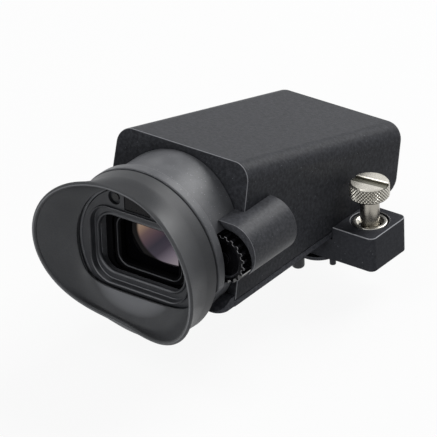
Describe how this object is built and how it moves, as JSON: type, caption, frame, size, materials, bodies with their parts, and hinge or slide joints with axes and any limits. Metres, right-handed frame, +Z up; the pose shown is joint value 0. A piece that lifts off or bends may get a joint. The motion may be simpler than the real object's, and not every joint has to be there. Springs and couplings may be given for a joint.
{
  "type": "electronic viewfinder",
  "caption": "Camera viewfinder with a wedge housing, round eyepiece with an oval eyecup, dioptre dial and a clamp arm with a captive thumbscrew.",
  "frame": {"origin": "on the arm's flat underside, beside the thumbscrew's hole, where the arm is clamped", "axes": "+X to the right as the user looks in, +Y forward away from the eye, +Z up; the arm clamps towards -Z"},
  "size_m": [0.0937, 0.1518, 0.0684],
  "materials": {
    "painted_magnesium": "dark charcoal paint with a fine grain",
    "black_moulding": "satin black moulding",
    "rubber": "matte black rubber",
    "nickel_plate": "satin nickel plate",
    "steel": "plain steel",
    "lens_glass": "coated optical glass",
    "dark_window": "dark glossy window",
    "circuit_board": "green circuit board",
    "bronze": "bearing bronze",
    "aluminium_sheet": "bare sheet"
  },
  "bodies": {
    "housing": {"arm_bolt": "steel", "arm_nut": "steel", "arm_pad": "rubber", "barrel_screw_lower_1": "steel", "barrel_screw_lower_2": "steel", "barrel_screw_upper_1": "steel", "barrel_screw_upper_2": "steel", "board_screw_1": "steel", "board_screw_2": "steel", "board_screw_3": "steel", "board_screw_4": "steel", "body_shell": "painted_magnesium", "bottom_cover": "painted_magnesium", "bumper_foot": "black_moulding", "cable_socket": "black_moulding", "cover_screw_1": "steel", "cover_screw_2": "steel", "cover_screw_3": "steel", "cover_screw_4": "steel", "dial_bush": "bronze", "dial_housing": "painted_magnesium", "display_board": "circuit_board", "display_holder": "black_moulding", "display_panel": "dark_window", "display_screw_1": "steel", "display_screw_2": "steel", "eye_sensor_board": "circuit_board", "eye_sensor_window": "dark_window", "eyepiece_barrel": "black_moulding", "eyepiece_plate": "black_moulding", "front_panel": "black_moulding", "heat_spreader": "aluminium_sheet", "holder_screw_1": "steel", "holder_screw_2": "steel", "light_tunnel": "black_moulding", "locating_pin_1": "steel", "locating_pin_2": "steel", "main_board": "circuit_board", "mount_arm": "painted_magnesium", "panel_screw_1": "steel", "panel_screw_2": "steel", "plate_screw_1": "steel", "plate_screw_2": "steel", "ribbon_cable": "black_moulding", "screw_eyelet": "nickel_plate", "socket_pins": "bronze", "wave_washer": "steel"},
    "eyecup": {"eyecup": "rubber", "eyecup_ring": "black_moulding"},
    "dial": {"diopter_dial": "black_moulding", "dial_shaft": "steel", "dial_screw": "steel"},
    "lens": {"lens_cell": "black_moulding", "eye_lens": "lens_glass", "field_lens": "lens_glass", "lens_spacer": "black_moulding", "lens_retainer": "black_moulding", "drive_nut": "black_moulding"},
    "clip": {"screw_clip": "steel"},
    "screw": {"thumbscrew": "nickel_plate"}
  },
  "joints": [
    {"name": "eyecup_turn", "type": "hinge", "parent": "housing", "child": "eyecup", "pos_m": [-0.0335, -0.09, 0.0297], "axis": [0, 1, 0], "continuous": true},
    {"name": "dial_turn", "type": "hinge", "parent": "housing", "child": "dial", "pos_m": [-0.003, -0.0768, 0.032], "axis": [0, 1, 0], "range_deg": [-165, 165]},
    {"name": "lens_slide", "type": "slide", "parent": "housing", "child": "lens", "axis": [0, 1, 0], "range_m": [-0.0025, 0.0025]},
    {"name": "screw_travel", "type": "slide", "parent": "housing", "child": "clip", "axis": [0, 0, -1], "range_m": [0, 0.01]},
    {"name": "screw_turn", "type": "hinge", "parent": "clip", "child": "screw", "pos_m": [0.008, 0.001, 0.02], "axis": [0, 0, 1], "continuous": true}
  ],
  "couplings": [
    {"joint": "dial_turn", "follows": "lens_slide", "rad_per_m": 1047.1}
  ]
}
